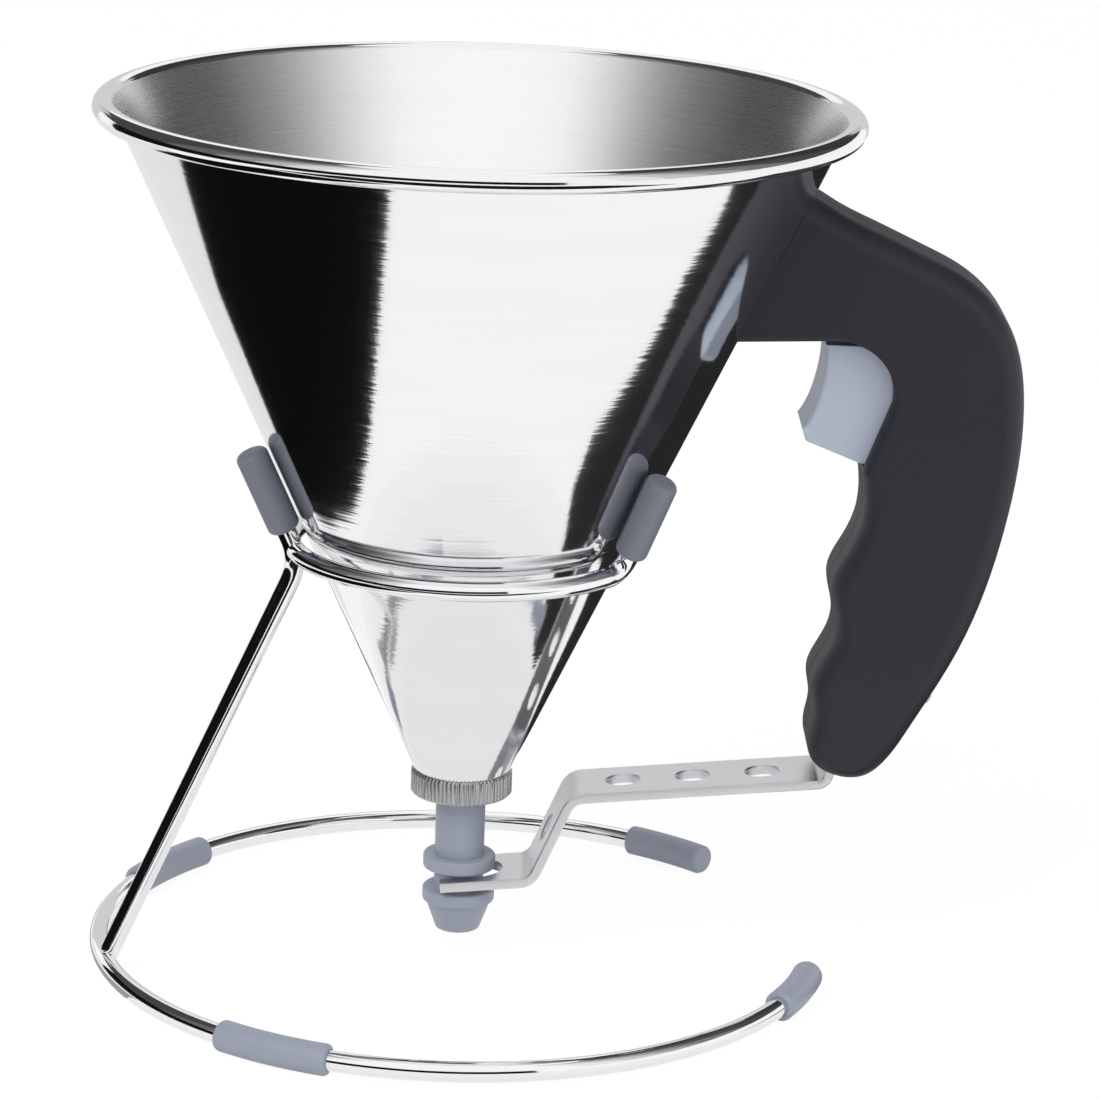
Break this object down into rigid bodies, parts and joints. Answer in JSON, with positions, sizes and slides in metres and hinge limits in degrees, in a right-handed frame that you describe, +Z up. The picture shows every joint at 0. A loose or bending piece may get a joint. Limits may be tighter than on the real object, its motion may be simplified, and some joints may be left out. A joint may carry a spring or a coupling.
{
  "type": "piston funnel",
  "caption": "Hand-held steel dispensing funnel with a trigger handle whose lever lifts a piston at the outlet, on a wire stand.",
  "frame": {"origin": "on the table, at the middle of the object's length and width", "axes": "+Z up along the funnel's axis, +X from the axis towards the handle; the funnel, handle and lever are mirrored about the XZ plane, and the stand about a plane turned 15.3 degrees from it"},
  "size_m": [0.183, 0.15, 0.1748],
  "materials": {
    "chrome_wire": "bright chromed round wire",
    "polished_steel": "polished stainless sheet with fine turned lines",
    "satin_steel": "satin stainless steel",
    "grey_plastic": "blue-grey moulded plastic",
    "black_plastic": "near-black moulded plastic, fine matt grain",
    "seal_rubber": null
  },
  "bodies": {
    "stand": {"base_ring": "chrome_wire", "upright": "chrome_wire", "cradle_wire_front": "chrome_wire", "cradle_wire_back": "chrome_wire", "foot_sleeve_front": "grey_plastic", "foot_sleeve_back": "grey_plastic", "end_cap_front": "grey_plastic", "end_cap_back": "grey_plastic", "rear_pad": "grey_plastic", "cradle_pad_front": "grey_plastic", "cradle_pad_back": "grey_plastic"},
    "funnel": {"cone": "polished_steel", "neck_ring": "polished_steel", "neck_seal": "seal_rubber", "guide_bush": "satin_steel", "handle_bracket": "satin_steel", "handle_left": "black_plastic", "handle_right": "black_plastic", "handle_screws": "satin_steel", "pivot_pin": "satin_steel", "return_spring": "satin_steel"},
    "nut": {"nozzle_nut": "satin_steel"},
    "lever": {"lever_bar": "satin_steel", "lever_arm": "satin_steel", "lever_rivets": "satin_steel", "trigger": "grey_plastic", "trigger_pin": "satin_steel"},
    "piston": {"piston_tube": "grey_plastic", "piston_seal": "seal_rubber", "spout": "grey_plastic"},
    "stop": {"flow_stop": "grey_plastic"}
  },
  "joints": [
    {"name": "funnel_lift", "type": "slide", "parent": "stand", "child": "funnel", "axis": [0, 0, 1], "range_m": [0, 0.1]},
    {"name": "lever_rock", "type": "hinge", "parent": "funnel", "child": "lever", "pos_m": [0.06494, 0, 0.054], "axis": [0, 1, 0], "range_deg": [0, 5.4], "stiffness_Nm_per_rad": 0.5, "springref_deg": -11.46, "deforming": ["return_spring"]},
    {"name": "piston_slide", "type": "slide", "parent": "funnel", "child": "piston", "axis": [0, 0, 1], "range_m": [0, 0.0077]},
    {"name": "nut_turn", "type": "hinge", "parent": "funnel", "child": "nut", "pos_m": [-0.01655, 0, 0.0365], "axis": [0, 0, 1], "continuous": true},
    {"name": "stop_slide", "type": "slide", "parent": "funnel", "child": "stop", "axis": [-0.4956, 0, -0.8685], "range_m": [-0.0015, 0.0015]}
  ],
  "couplings": [
    {"joint": "piston_slide", "follows": "lever_rock", "m_per_rad": 0.0815}
  ]
}
